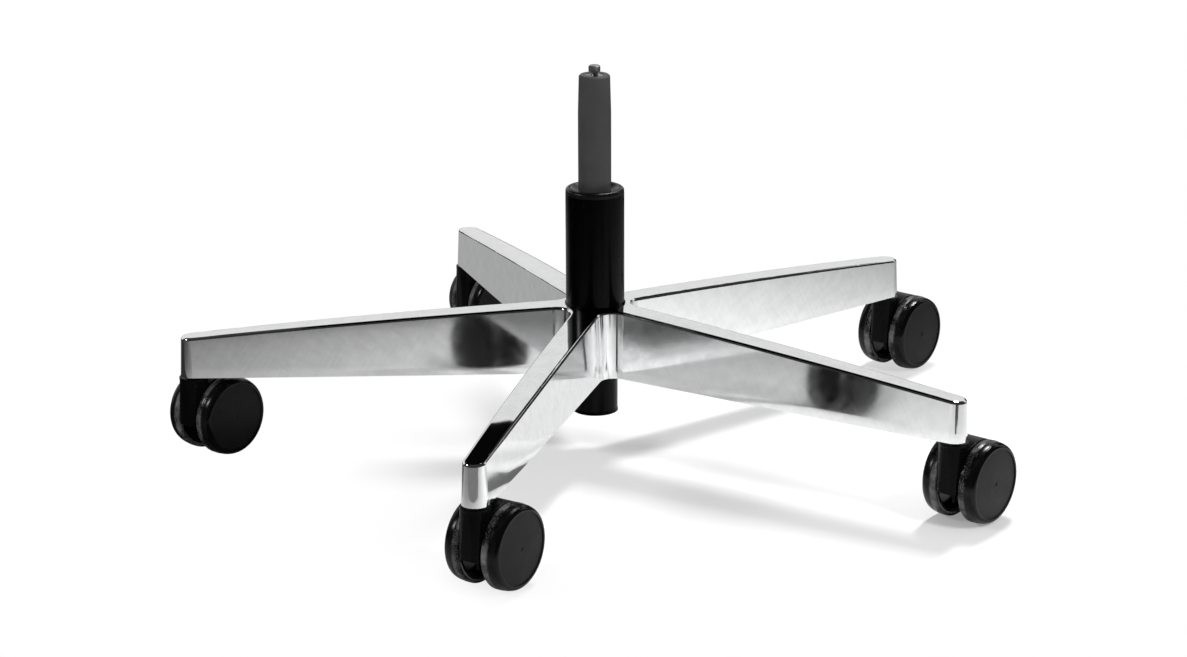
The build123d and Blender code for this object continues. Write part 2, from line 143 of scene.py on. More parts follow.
# Dark card over the base: place from the camera's side, length of a side, grey
OVERHEAD_PLACE = (0.0, 0.005, 0.42)
OVERHEAD_SIDE = 0.6
OVERHEAD_GREY = 0.002

# Curved dark screens: radius, headings and heights in degrees, grey
SCREENS = (
    ("dark front", 3.4, (-200, 20), (-1, 60), 0.03),
    ("dark roof", 3.6, (-180, 180), (38, 90), 0.05),
    ("dark strip behind", 3.2, (38, 68), (-1, 26), 0.02),
)
SCREEN_COLUMNS = 24
SCREEN_ROWS = 12

# Grey cards on the floor that only reflections see, each glowing in one even grey in place of the
# floor there: darker and lighter patches, among them a painted patch of light and a painted shadow
# of the hub. Middle, width, depth, grey
FLOOR_CARDS = (
    ("left floor card", (-0.48, -0.1, 0.001), 0.5, 0.34, 0.03),
    ("front floor card", (0.5, -0.51, 0.001), 0.2, 0.2, 0.07),
    ("near floor card", (0.05, -0.72, 0.001), 0.7, 0.28, 0.2),
    ("back floor card", (-0.5, 0.4, 0.001), 0.4, 0.4, 0.42),
    # A painted patch of light on the floor, which the metal mirrors
    ("bright floor card", (0.14, 0.12, 0.001), 0.2, 0.2, 0.88),
    # A painted shadow of the hub on the floor, which the metal mirrors
    ("small floor card", (0.075, -0.09, 0.001), 0.07, 0.05, 0.15),
)

# The photograph's camera: its heading round the column, pitch, roll, place and lens
VIEW_HEADING = math.radians(15.43)
VIEW_PITCH = math.radians(17.36)
VIEW_ROLL = math.radians(-0.2)
VIEW_BACK = 2.5219
VIEW_SIDE = -0.0015
VIEW_HEIGHT = 0.8976
VIEW_LENS = 93.35
VIEW_SENSOR = 36.0
VIEW_NEAREST = 0.1
VIEW_FURTHEST = 60.0


def from_view(side, depth, height):
    """A point or direction given from the camera's side: to the right, away and up."""
    turn = Matrix.Rotation(VIEW_HEADING, 3, "Z")
    return turn @ Vector((side, depth, height))


def add_object(name, data):
    """A new object with its data, in the scene."""
    made = bpy.data.objects.new(name, data)
    bpy.context.scene.collection.objects.link(made)
    return made


# Settings

class AluminiumLook(bpy.types.PropertyGroup):
    tint: FloatVectorProperty(
        name="Tint", description="Colour of the polished metal", subtype="COLOR",
        default=(0.90, 0.905, 0.91), min=0.0, max=1.0)
    roughness: FloatProperty(
        name="Roughness", description="How dull the polish on the legs' tops is",
        default=0.025, min=0.0, max=1.0)
    wall_roughness: FloatProperty(
        name="Wall roughness", description="How dull the polish on the legs' walls is",
        default=0.055, min=0.0, max=1.0)
    wave_size: FloatProperty(
        name="Wave size", description="Length of the soft waves left by hand polishing",
        default=0.05, min=0.001, unit="LENGTH")
    wave_height: FloatProperty(
        name="Wave height", description="Height of those waves",
        default=0.00012, min=0.0, unit="LENGTH")
    ripple_height: FloatProperty(
        name="Ripple height", description="Height of the upright ripples across the legs",
        default=0.000005, min=0.0, unit="LENGTH")
    streak_height: FloatProperty(
        name="Streak height", description="Height of the fine polishing streaks",
        default=0.0000014, min=0.0, unit="LENGTH")
    edge_depth: FloatProperty(
        name="Edge roll",
        description="How far the polish rolls the walls in along their lower edge",
        default=0.00035, min=0.0, unit="LENGTH")


class ColumnLook(bpy.types.PropertyGroup):
    tube_colour: FloatVectorProperty(
        name="Tube colour", description="Colour of the tube's black coat", subtype="COLOR",
        default=(0.0002, 0.0002, 0.0002), min=0.0, max=1.0)
    tube_roughness: FloatProperty(
        name="Tube roughness", description="Roughness of the tube's coat",
        default=0.22, min=0.0, max=1.0)
    cylinder_colour: FloatVectorProperty(
        name="Cylinder colour", description="Colour of the gas cylinder's satin coat",
        subtype="COLOR", default=(0.042, 0.042, 0.044), min=0.0, max=1.0)
    cylinder_roughness: FloatProperty(
        name="Cylinder roughness", description="Roughness of the satin coat",
        default=0.42, min=0.0, max=1.0)


class BearingLook(bpy.types.PropertyGroup):
    ball_count: IntProperty(
        name="Balls", description="Number of balls in the thrust bearing",
        default=9, min=3, max=30)
    ball_radius: FloatProperty(
        name="Ball radius", description="Radius of one ball",
        default=0.00175, min=0.0005, unit="LENGTH")
    circle_radius: FloatProperty(
        name="Ball circle", description="Radius of the circle that the balls run on",
        default=0.0085, min=0.001, unit="LENGTH")


class CasterLook(bpy.types.PropertyGroup):
    wheel_colour: FloatVectorProperty(
        name="Wheel colour", description="Colour of the glossy wheels", subtype="COLOR",
        default=(0.0015, 0.0015, 0.0015), min=0.0, max=1.0)
    cap_colour: FloatVectorProperty(
        name="Cap colour", description="Colour of the matt discs", subtype="COLOR",
        default=(0.003, 0.003, 0.003), min=0.0, max=1.0)
    dust_colour: FloatVectorProperty(
        name="Dust colour", description="Colour of the dust on the treads", subtype="COLOR",
        default=(0.34, 0.34, 0.33), min=0.0, max=1.0)
    dust_amount: FloatProperty(
        name="Dust", description="Share of the treads that carries dust",
        default=0.6, min=0.0, max=1.0)


class StageLook(bpy.types.PropertyGroup):
    floor_size: FloatProperty(
        name="Floor size", description="Side of the square floor",
        default=24.0, min=2.0, unit="LENGTH")
    floor_colour: FloatVectorProperty(
        name="Floor colour", description="Colour of the floor", subtype="COLOR",
        default=(0.9, 0.9, 0.9), min=0.0, max=1.0)
    floor_glow: FloatProperty(
        name="Floor glow",
        description="Share of plain white that the camera sees where shadows are full",
        default=0.25, min=0.0, max=1.0)
    shadow_reach: FloatProperty(
        name="Shadow reach", description="How far out the camera sees full shadows on the floor",
        default=0.26, min=0.05, unit="LENGTH")
    # Reach of the pool of light that is painted into the floor's colour for reflections
    painted_pool_radius: FloatProperty(
        name="Pool of light",
        description="How far the pool of light that the metal mirrors reaches",
        default=0.6, min=0.05, unit="LENGTH")
    room_strength: FloatProperty(
        name="Room light", description="Strength of the even light from all round",
        default=0.46, min=0.0)
    rear_power: FloatProperty(
        name="Rear lamp", description="Power of the high lamp behind",
        default=45.0, min=0.0, unit="POWER")
    left_power: FloatProperty(
        name="Left lamp", description="Power of the tall lamp on the left",
        default=12.0, min=0.0, unit="POWER")
    front_power: FloatProperty(
        name="Front lamp", description="Power of the lamp in front on the right",
        default=18.0, min=0.0, unit="POWER")


# Node helpers

def emptied_tree(owner):
    """The node tree of a material or a world, with nothing in it."""
    owner.use_nodes = True
    owner.node_tree.nodes.clear()
    return owner.node_tree


def new_material(name):
    """A material with only its output and a Principled BSDF, with its tree and that shader."""
    material = bpy.data.materials.new(name)
    tree = emptied_tree(material)
    output = tree.nodes.new("ShaderNodeOutputMaterial")
    shader = tree.nodes.new("ShaderNodeBsdfPrincipled")
    tree.links.new(shader.outputs["BSDF"], output.inputs["Surface"])
    return material, tree, shader


def floats(*labels):
    """Number sockets with these labels, for a node group."""
    return [(label, "NodeSocketFloat") for label in labels]


def group_tree(name, kind, inputs, outputs):
    """A node group with its named sockets and its input and output nodes."""
    tree = bpy.data.node_groups.new(name, kind)
    for way, sockets in (("INPUT", inputs), ("OUTPUT", outputs)):
        for label, socket in sockets:
            tree.interface.new_socket(label, in_out=way, socket_type=socket)
    return tree, tree.nodes.new("NodeGroupInput"), tree.nodes.new("NodeGroupOutput")


def feed(tree, value, socket):
    """Links an output to a socket, or sets the socket to a plain value."""
    if isinstance(value, bpy.types.NodeSocket):
        tree.links.new(value, socket)
    else:
        socket.default_value = value


def calculate(tree, operation, first, second=None, clamp=False):
    """A Math node whose operands are sockets or numbers. Returns its result."""
    node = tree.nodes.new("ShaderNodeMath")
    node.operation = operation
    node.use_clamp = clamp
    feed(tree, first, node.inputs[0])
    if second is not None:
        feed(tree, second, node.inputs[1])
    return node.outputs[0]


def noise(tree, vector, scale, detail, roughness, distortion=0.0):
    """A noise texture on a vector. Scale is a socket or a number, in waves to the metre."""
    node = tree.nodes.new("ShaderNodeTexNoise")
    tree.links.new(vector, node.inputs["Vector"])
    feed(tree, scale, node.inputs["Scale"])
    node.inputs["Detail"].default_value = detail
    node.inputs["Roughness"].default_value = roughness
    node.inputs["Distortion"].default_value = distortion
    return node.outputs["Fac"]


def remap(tree, value, low, high, to_low, to_high):
    """A value stretched from one range to another and held inside it."""
    node = tree.nodes.new("ShaderNodeMapRange")
    for socket, bound in zip(node.inputs[1:5], (low, high, to_low, to_high)):
        feed(tree, bound, socket)
    tree.links.new(value, node.inputs["Value"])
    return node.outputs["Result"]


def squeeze(tree, vector, scale):
    """A vector with each of its parts scaled."""
    node = tree.nodes.new("ShaderNodeMapping")
    node.inputs["Scale"].default_value = scale
    tree.links.new(vector, node.inputs["Vector"])
    return node.outputs[0]


def blend_colours(tree, factor, first, second):
    """A colour between two plain colours, on the sockets that the node keeps for colours."""
    node = tree.nodes.new("ShaderNodeMix")
    node.data_type = "RGBA"
    tree.links.new(factor, node.inputs["Factor"])
    node.inputs[6].default_value = (*first, 1.0)
    node.inputs[7].default_value = (*second, 1.0)
    return node.outputs[2]


def blend_shaders(tree, factor, first, second, output):
    """Sends a mix of two shaders to the tree's output."""
    node = tree.nodes.new("ShaderNodeMixShader")
    for socket, value in zip(node.inputs, (factor, first, second)):
        tree.links.new(value, socket)
    tree.links.new(node.outputs[0], output.inputs["Surface"])


def object_position(tree):
    """The place on the object, which stays with it when it moves."""
    return tree.nodes.new("ShaderNodeTexCoord").outputs["Object"]


def distance_from(tree, centre):
    """How far the surface lies from a point."""
    node = tree.nodes.new("ShaderNodeVectorMath")
    node.operation = "DISTANCE"
    tree.links.new(object_position(tree), node.inputs[0])
    node.inputs[1].default_value = centre
    return node.outputs["Value"]


def point_value(tree, name):
    """A number that the mesh holds at its points."""
    node = tree.nodes.new("ShaderNodeAttribute")
    node.attribute_name = name
    return node.outputs["Fac"]


def use_group(tree, group, **values):
    """Places a node group and sets its inputs, whose labels have spaces for underscores."""
    node = tree.nodes.new("ShaderNodeGroup")
    node.node_tree = group
    for key, value in values.items():
        node.inputs[key.replace("_", " ").capitalize()].default_value = value
    return node


def add_bump(tree, shader, height, distance):
    """Feeds a height, in units of the distance, to the shader's normal."""
    bump = tree.nodes.new("ShaderNodeBump")
    bump.inputs["Strength"].default_value = 1.0
    bump.inputs["Distance"].default_value = distance
    tree.links.new(height, bump.inputs["Height"])
    tree.links.new(bump.outputs["Normal"], shader.inputs["Normal"])


# Shared surface effects

def leg_space_group():
    """Position along, across and above whichever leg is nearest, so that marks follow every leg."""
    tree, _, outs = group_tree(
        "leg space", "ShaderNodeTree", (), (("Position", "NodeSocketVector"),))
    apart = tree.nodes.new("ShaderNodeSeparateXYZ")
    tree.links.new(object_position(tree), apart.inputs[0])
    angle = calculate(tree, "ARCTAN2", apart.outputs["Y"], apart.outputs["X"])
    legs_round = calculate(tree, "DIVIDE", calculate(tree, "SUBTRACT", angle, FIRST_LEG), LEG_TURN)
    whole = calculate(tree, "ROUND", legs_round)
    local = calculate(tree, "MULTIPLY", calculate(tree, "SUBTRACT", legs_round, whole), LEG_TURN)
    squares = calculate(tree, "ADD", calculate(tree, "POWER", apart.outputs["X"], 2.0),
                        calculate(tree, "POWER", apart.outputs["Y"], 2.0))
    flat = calculate(tree, "POWER", squares, 0.5)
    along = calculate(tree, "MULTIPLY", flat, calculate(tree, "COSINE", local))
    across = calculate(tree, "MULTIPLY", flat, calculate(tree, "SINE", local))
    # A metre of shift from leg to leg keeps their marks from being alike
    shifted = calculate(tree, "ADD", along, whole)
    together = tree.nodes.new("ShaderNodeCombineXYZ")
    for socket, value in zip(together.inputs, (shifted, across, apart.outputs["Z"])):
        tree.links.new(value, socket)
    tree.links.new(together.outputs[0], outs.inputs["Position"])
    return tree


def polish_group(leg_space):
    """Hand polish on cast metal: waves, ripples, slanting streaks and cloudy patches."""
    tree, ins, outs = group_tree(
        "hand polish", "ShaderNodeTree",
        floats("Wave scale", "Ripple share", "Streak share", "Slant", "Edge roll"),
        floats("Height", "Clouds", "Streaks"))
    place = use_group(tree, leg_space).outputs[0]
    turned = tree.nodes.new("ShaderNodeVectorRotate")
    turned.rotation_type = "Y_AXIS"
    tree.links.new(place, turned.inputs["Vector"])
    tree.links.new(ins.outputs["Slant"], turned.inputs["Angle"])
    slanted = turned.outputs[0]
    waves = noise(tree, place, ins.outputs["Wave scale"],
                  detail=1.0, roughness=0.35, distortion=0.3)
    streaks = noise(tree, squeeze(tree, slanted, STREAK_STRETCH), 1.0, detail=3.0, roughness=0.6)
    ripples = noise(tree, squeeze(tree, place, RIPPLE_STRETCH), 1.0, detail=1.0, roughness=0.5)
    clouds = noise(tree, squeeze(tree, slanted, CLOUD_STRETCH), 1.0,
                   detail=6.0, roughness=0.62, distortion=0.3)
    fine = calculate(tree, "ADD",
                     calculate(tree, "MULTIPLY", streaks, ins.outputs["Streak share"]),
                     calculate(tree, "MULTIPLY", ripples, ins.outputs["Ripple share"]))
    above = tree.nodes.new("ShaderNodeSeparateXYZ")
    tree.links.new(place, above.inputs[0])
    near_edge = remap(tree, above.outputs["Z"], STAR_LOW.z, STAR_LOW.z + EDGE_ROLL, 1.0, 0.0)
    roll = calculate(tree, "MULTIPLY", calculate(tree, "POWER", near_edge, 2.0),
                     ins.outputs["Edge roll"])
    height = calculate(tree, "SUBTRACT", calculate(tree, "ADD", waves, fine), roll)
    tree.links.new(height, outs.inputs["Height"])
    tree.links.new(clouds, outs.inputs["Clouds"])
    tree.links.new(streaks, outs.inputs["Streaks"])


def dust_group():
    """Specks and a thin film of dust: how much of the surface is covered, from 0 to 1."""
    patch_scale = 55.0
    speck_level = 0.78
    level_drop = 0.4
    speck_edge = 0.12
    film_range = (0.42, 0.72)
    speck_share = 0.5
    cover_share = 0.7
    tree, ins, outs = group_tree(
        "dust", "ShaderNodeTree", floats("Speck scale", "Amount"), floats("Cover"))
    amount = ins.outputs["Amount"]
    place = object_position(tree)
    specks = noise(tree, place, ins.outputs["Speck scale"], detail=3.0, roughness=0.7)
    patches = noise(tree, place, patch_scale, detail=3.0, roughness=0.6)
    edge = calculate(tree, "SUBTRACT", speck_level,
                     calculate(tree, "MULTIPLY", amount, level_drop))
    dots = remap(tree, specks, edge, calculate(tree, "ADD", edge, speck_edge), 0.0, 1.0)
    film = remap(tree, patches, *film_range, 0.0, amount)
    both = calculate(tree, "ADD", calculate(tree, "MULTIPLY", dots, speck_share), film)
    cover = calculate(tree, "MULTIPLY", both, cover_share)
    tree.links.new(calculate(tree, "MINIMUM", cover, 1.0), outs.inputs["Cover"])


def grain_group():
    """Fine even grain of a mould or a powder coat, with slow changes of gloss."""
    tree, ins, outs = group_tree(
        "fine grain", "ShaderNodeTree",
        floats("Grain scale", "Patch scale"), floats("Height", "Patches"))
    place = object_position(tree)
    height = noise(tree, place, ins.outputs["Grain scale"], detail=2.0, roughness=0.55)
    patches = noise(tree, place, ins.outputs["Patch scale"], detail=3.0, roughness=0.6)
    tree.links.new(height, outs.inputs["Height"])
    tree.links.new(patches, outs.inputs["Patches"])


def shared_group(name):
    """One of the node groups that several materials use. The first call makes them all."""
    groups = bpy.data.node_groups
    if name not in groups:
        polish_group(leg_space_group())
        dust_group()
        grain_group()
    return groups[name]


# Materials

def polished_aluminium(look):
    """Cast aluminium, brighter on its tops and duller where the polish is cloudy."""
    dull_share = 0.9
    cloud_share = 0.6
    streak_share = 0.4
    tone_range = (0.38, 0.6)
    rougher = 0.03
    smoother = 0.01
    streak_roughness = 0.03
    top_range = (0.5, 0.95)
    material, tree, shader = new_material("polished aluminium")
    marks = use_group(
        tree, shared_group("hand polish"), wave_scale=1.0 / look.wave_size,
        ripple_share=look.ripple_height / look.wave_height,
        streak_share=look.streak_height / look.wave_height, slant=MARK_SLANT,
        edge_roll=look.edge_depth / look.wave_height)
    clouds = marks.outputs["Clouds"]
    streaks = marks.outputs["Streaks"]
    shader.inputs["Metallic"].default_value = 1.0
    dull = tuple(dull_share * part for part in look.tint)
    marked = calculate(tree, "ADD", calculate(tree, "MULTIPLY", clouds, cloud_share),
                       calculate(tree, "MULTIPLY", streaks, streak_share))
    tone = remap(tree, marked, *tone_range, 0.0, 1.0)
    tree.links.new(blend_colours(tree, tone, dull, look.tint), shader.inputs["Base Color"])
    clouded = remap(tree, clouds, *NOISE_RANGE,
                    look.wall_roughness + rougher, look.wall_roughness - smoother)
    wall = calculate(tree, "ADD", clouded,
                     calculate(tree, "MULTIPLY", streaks, streak_roughness))
    top = remap(tree, point_value(tree, "upward"), *top_range, 0.0, 1.0)
    change = calculate(tree, "MULTIPLY", top, calculate(tree, "SUBTRACT", look.roughness, wall))
    tree.links.new(calculate(tree, "ADD", wall, change), shader.inputs["Roughness"])
    add_bump(tree, shader, marks.outputs["Height"], look.wave_height)
    return material


def coated_steel(name, colour, roughness, grain_height, gloss_change, sheen):
    """Steel under a dark coat, with the coat's fine orange peel."""
    lighter_share = 1.25
    tone_range = (0.35, 0.65)
    material, tree, shader = new_material(name)
    shader.inputs["Specular IOR Level"].default_value = sheen
    surface = use_group(tree, shared_group("fine grain"), grain_scale=420.0, patch_scale=26.0)
    patches = surface.outputs["Patches"]
    lighter = tuple(lighter_share * part for part in colour)
    tone = remap(tree, patches, *tone_range, 0.0, 1.0)
    tree.links.new(blend_colours(tree, tone, colour, lighter), shader.inputs["Base Color"])
    rough = remap(tree, patches, *NOISE_RANGE, roughness - gloss_change, roughness + gloss_change)
    tree.links.new(rough, shader.inputs["Roughness"])
    add_bump(tree, shader, surface.outputs["Height"], grain_height)
    return material


def moulded_plastic(name, colour, roughness, grain_height, grain_scale, sheen=0.5):
    """Plastic or rubber from a mould, with a fine grain in its height, colour and gloss."""
    lighter_share = 1.4
    lighter_by = 0.0005
    grained_range = (0.15, 0.35)
    smoother = 0.05
    rougher = 0.07
    material, tree, shader = new_material(name)
    shader.inputs["Specular IOR Level"].default_value = sheen
    surface = use_group(tree, shared_group("fine grain"),
                        grain_scale=grain_scale, patch_scale=60.0)
    height = surface.outputs["Height"]
    lighter = tuple(lighter_share * part + lighter_by for part in colour)
    grained = calculate(tree, "MULTIPLY", surface.outputs["Patches"], height)
    tone = remap(tree, grained, *grained_range, 0.0, 1.0)
    tree.links.new(blend_colours(tree, tone, colour, lighter), shader.inputs["Base Color"])
    rough = remap(tree, grained, *grained_range, roughness - smoother, roughness + rougher)
    tree.links.new(rough, shader.inputs["Roughness"])
    add_bump(tree, shader, height, grain_height)
    return material


def dusty_tread(look):
    """Tyre: dusty where it rolls, bare and glossy on its shoulder."""
    shoulder_dust = 0.04
    sheen = 0.16
    bare_roughness = 0.2
    dust_roughness = 0.8
    grain_height = 0.00002
    material, tree, shader = new_material("dusty tread")
    cover = use_group(tree, shared_group("dust"), speck_scale=1300.0, amount=look.dust_amount)
    surface = use_group(tree, shared_group("fine grain"), grain_scale=900.0, patch_scale=45.0)
    rolling = calculate(tree, "SUBTRACT", 1.0, point_value(tree, "bare"))
    dusted = calculate(tree, "MULTIPLY", cover.outputs["Cover"],
                       calculate(tree, "ADD", shoulder_dust, rolling), clamp=True)
    shader.inputs["Specular IOR Level"].default_value = sheen
    colour = blend_colours(tree, dusted, TYRE_COLOUR, look.dust_colour)
    tree.links.new(colour, shader.inputs["Base Color"])
    rough = calculate(tree, "ADD", bare_roughness,
                      calculate(tree, "MULTIPLY", dusted, dust_roughness))
    tree.links.new(rough, shader.inputs["Roughness"])
    add_bump(tree, shader, surface.outputs["Height"], grain_height)
    return material


def bare_steel(name, colour, roughness):
    """Ground, plated or chromed steel."""
    darker_share = 0.8
    tone_range = (0.35, 0.7)
    rougher = 0.1
    grain_height = 0.00001
    material, tree, shader = new_material(name)
    surface = use_group(tree, shared_group("fine grain"), grain_scale=1100.0, patch_scale=70.0)
    patches = surface.outputs["Patches"]
    shader.inputs["Metallic"].default_value = 1.0
    darker = tuple(darker_share * part for part in colour)
    tone = remap(tree, patches, *tone_range, 0.0, 1.0)
    tree.links.new(blend_colours(tree, tone, darker, colour), shader.inputs["Base Color"])
    rough = remap(tree, patches, *NOISE_RANGE, roughness, roughness + rougher)
    tree.links.new(rough, shader.inputs["Roughness"])
    add_bump(tree, shader, surface.outputs["Height"], grain_height)
    return material


def dress(material, *nodes):
    """Gives CAD nodes a material in place of the plain one they came with."""
    for node in nodes:
        part = frame["nodes"][node]
        part.data.materials.clear()
        part.data.materials.append(material)


# The star and the column

class DressStar(bpy.types.Operator):
    """Give the cast star its hand-polished aluminium"""
    bl_idname = "chairbase.dress_star"
    bl_label = "Star"

    def execute(self, context):
        dress(polished_aluminium(context.scene.base_aluminium), "star_base")
        star = frame["nodes"]["star_base"].data
        star.attributes.new("upward", "FLOAT", "POINT").data.foreach_set(
            "value", [abs(corner.normal.z) for corner in star.vertices])
        return {"FINISHED"}


class DressColumn(bpy.types.Operator):
    """Give the column tube, its bush and the gas spring their coats and metals"""
    bl_idname = "chairbase.dress_column"
    bl_label = "Column"

    def execute(self, context):
        look = context.scene.base_column
        black = coated_steel("black coated tube", look.tube_colour, look.tube_roughness,
                             grain_height=0.000006, gloss_change=0.03, sheen=0.09)
        satin = coated_steel("satin cylinder", look.cylinder_colour, look.cylinder_roughness,
                             grain_height=0.00001, gloss_change=0.04, sheen=0.5)
        bush = moulded_plastic("bush plastic", BUSH_COLOUR, roughness=0.3,
                               grain_height=0.00001, grain_scale=1200.0, sheen=0.25)
        chrome = bare_steel("chromed rod", CHROME_COLOUR, roughness=0.08)
        zinc = bare_steel("zinc plated steel", ZINC_COLOUR, roughness=0.3)
        rubber = moulded_plastic("buffer rubber", BUFFER_COLOUR, roughness=0.7,
                                 grain_height=0.00005, grain_scale=700.0)
        dress(black, "column_tube")
        dress(satin, "gas_cylinder")
        dress(bush, "guide_bush", "rod_guide")
        dress(chrome, "piston_rod")
        dress(zinc, "valve_body", "release_button", "retaining_clip")
        dress(rubber, "bump_stop")
        return {"FINISHED"}


# The thrust bearing

def ball_ring_tree(steel):
    """Geometry nodes that set balls evenly round a circle."""
    tree, ins, outs = group_tree(
        "ball ring", "GeometryNodeTree",
        [("Ball count", "NodeSocketInt"), *floats("Ball radius", "Circle radius", "Height")],
        [("Geometry", "NodeSocketGeometry")])
    circle = tree.nodes.new("GeometryNodeMeshCircle")
    tree.links.new(ins.outputs["Ball count"], circle.inputs["Vertices"])
    tree.links.new(ins.outputs["Circle radius"], circle.inputs["Radius"])
    lift = tree.nodes.new("GeometryNodeTransform")
    upward = tree.nodes.new("ShaderNodeCombineXYZ")
    tree.links.new(ins.outputs["Height"], upward.inputs["Z"])
    tree.links.new(circle.outputs["Mesh"], lift.inputs["Geometry"])
    tree.links.new(upward.outputs[0], lift.inputs["Translation"])
    ball = tree.nodes.new("GeometryNodeMeshUVSphere")
    ball.inputs["Segments"].default_value = BALL_SEGMENTS
    ball.inputs["Rings"].default_value = BALL_RINGS
    tree.links.new(ins.outputs["Ball radius"], ball.inputs["Radius"])
    smooth = tree.nodes.new("GeometryNodeSetShadeSmooth")
    tree.links.new(ball.outputs["Mesh"], smooth.inputs["Geometry"])
    spread = tree.nodes.new("GeometryNodeInstanceOnPoints")
    tree.links.new(lift.outputs["Geometry"], spread.inputs["Points"])
    tree.links.new(smooth.outputs["Geometry"], spread.inputs["Instance"])
    real = tree.nodes.new("GeometryNodeRealizeInstances")
    tree.links.new(spread.outputs["Instances"], real.inputs["Geometry"])
    coat = tree.nodes.new("GeometryNodeSetMaterial")
    coat.inputs["Material"].default_value = steel
    tree.links.new(real.outputs["Geometry"], coat.inputs["Geometry"])
    tree.links.new(coat.outputs["Geometry"], outs.inputs["Geometry"])
    return tree


def mesh_from_nodes(name, tree, values):
    """An object whose mesh is what a geometry nodes tree makes of its inputs."""
    maker = add_object(name + "_maker", bpy.data.meshes.new(name + "_maker"))
    modifier = maker.modifiers.new("nodes", "NODES")
    modifier.node_group = tree
    for item in tree.interface.items_tree:
        if item.item_type == "SOCKET" and item.in_out == "INPUT" and item.name in values:
            modifier[item.identifier] = values[item.name]
    evaluated = maker.evaluated_get(bpy.context.evaluated_depsgraph_get())
    mesh = bpy.data.meshes.new_from_object(evaluated)
    mesh.name = name
    bpy.data.objects.remove(maker)
    return add_object(name, mesh)


class BuildBearing(bpy.types.Operator):
    """Set the bearing balls in their cage and give the races ground steel"""
    bl_idname = "chairbase.build_bearing"
    bl_label = "Bearing"

    def execute(self, context):
        look = context.scene.base_bearing
        steel = bare_steel("ground bearing steel", BEARING_COLOUR, roughness=0.12)
        cage = moulded_plastic("cage plastic", CAGE_COLOUR, roughness=0.4,
                               grain_height=0.00001, grain_scale=1500.0)
        dress(steel, "lower_race", "upper_race")
        dress(cage, "ball_cage")
        balls = mesh_from_nodes("bearing_balls", ball_ring_tree(steel), {
            "Ball count": look.ball_count,
            "Ball radius": look.ball_radius,
            "Circle radius": look.circle_radius,
            "Height": (BALLS_LOW.z + BALLS_HIGH.z) / 2,
        })
        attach(balls, "bearing_cage")
        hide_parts("thrust_balls")
        return {"FINISHED"}


# Casters

def tyre_section():
    """Closed section of a tyre: distance out, radius, and 1 on the bare shoulder."""
    points = [(TYRE_INNER, TYRE_SEAT, 0.0)]
    for step in range(CORNER_STEPS + 1):
        turn = math.pi / 2 * step / CORNER_STEPS
        points.append((TYRE_INNER + TYRE_CORNER * (1 - math.cos(turn)),
                       TYRE_RADIUS - TYRE_CORNER * (1 - math.sin(turn)), 0.0))
    points += [(TYRE_SEAM - TYRE_SEAM_WIDTH, TYRE_RADIUS, 0.0),
               (TYRE_SEAM, TYRE_RADIUS - TYRE_STEP, 0.5)]
    reach = TYRE_OUTER - TYRE_SEAM
    drop = TYRE_RADIUS - TYRE_STEP - TYRE_LIP
    for step in range(1, SHOULDER_STEPS + 1):
        turn = math.pi / 2 * step / SHOULDER_STEPS
        out_share = math.sin(turn) ** (2 / TYRE_FULLNESS)
        up_share = max(math.cos(turn), 0.0) ** (2 / TYRE_FULLNESS)
        points.append((TYRE_SEAM + reach * out_share, TYRE_LIP + drop * up_share, 1.0))
    points += [(TYRE_OUTER - TYRE_LIP_WIDTH, TYRE_LIP, 1.0), (TYRE_SEAM, TYRE_SEAT, 1.0)]
    return points


def build_tyre(name, centre, outward):
    """Turns the tyre's section round a wheel's axle."""
    section = tyre_section()
    upward = Vector((0, 0, 1))
    forward = upward.cross(outward)
    corners = []
    bare = []
    for number in range(TYRE_TURNS):
        angle = 2 * math.pi * number / TYRE_TURNS
        radial = forward * math.cos(angle) + upward * math.sin(angle)
        for out, radius, shoulder in section:
            corners.append(centre + outward * out + radial * radius)
            bare.append(shoulder)
    count = len(section)
    faces = []
    for number in range(TYRE_TURNS):
        here = number * count
        there = (number + 1) % TYRE_TURNS * count
        for step in range(count):
            after = (step + 1) % count
            faces.append((here + step, here + after, there + after, there + step))
    mesh = bpy.data.meshes.new(name)
    mesh.from_pydata(corners, [], faces)
    mesh.shade_smooth()
    mesh.attributes.new("bare", "FLOAT", "POINT").data.foreach_set("value", bare)
    return add_object(name, mesh)


def wheel_axle(number, side):
    """Middle of a caster's axle, and the direction from there out to the wheel on that side."""
    name = f"caster{number}_roll_{side}"
    joint = next(row for row in frame["joints"] if row["name"] == name)
    outward = Vector(joint["axis"]).normalized()
    return Vector(joint["pos_m"]), outward if side == "left" else -outward


class DressCasters(bpy.types.Operator):
    """Give the five casters their plastics and steels, and build their dusty tyres"""
    bl_idname = "chairbase.dress_casters"
    bl_label = "Casters"

    def execute(self, context):
        look = context.scene.base_casters
        wheel = moulded_plastic("glossy wheel", look.wheel_colour, roughness=0.14,
                                grain_height=0.000004, grain_scale=500.0, sheen=0.2)
        cap = moulded_plastic("matt cap", look.cap_colour, roughness=0.42,
                              grain_height=0.00003, grain_scale=1600.0, sheen=0.17)
        body = moulded_plastic("caster body", BODY_COLOUR, roughness=0.28,
                               grain_height=0.000006, grain_scale=700.0, sheen=0.06)
        tread = dusty_tread(look)
        zinc = bare_steel("caster steel", ZINC_COLOUR, roughness=0.28)
        dress(zinc, "stem_grip_rings")
        for number in range(1, LEG_COUNT + 1):
            caster = f"caster{number}_"
            dress(zinc, caster + "stem", caster + "axle")
            dress(body, caster + "body")
            for side in ("left", "right"):
                dress(wheel, caster + "wheel_" + side)
                tyre = build_tyre(caster + "tyre_" + side, *wheel_axle(number, side))
                tyre.data.materials.append(tread)
                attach(tyre, caster + "wheel_" + side)
                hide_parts(caster + "tread_" + side)
                dress(cap, caster + "cap_" + side)
        return {"FINISHED"}


# Stage

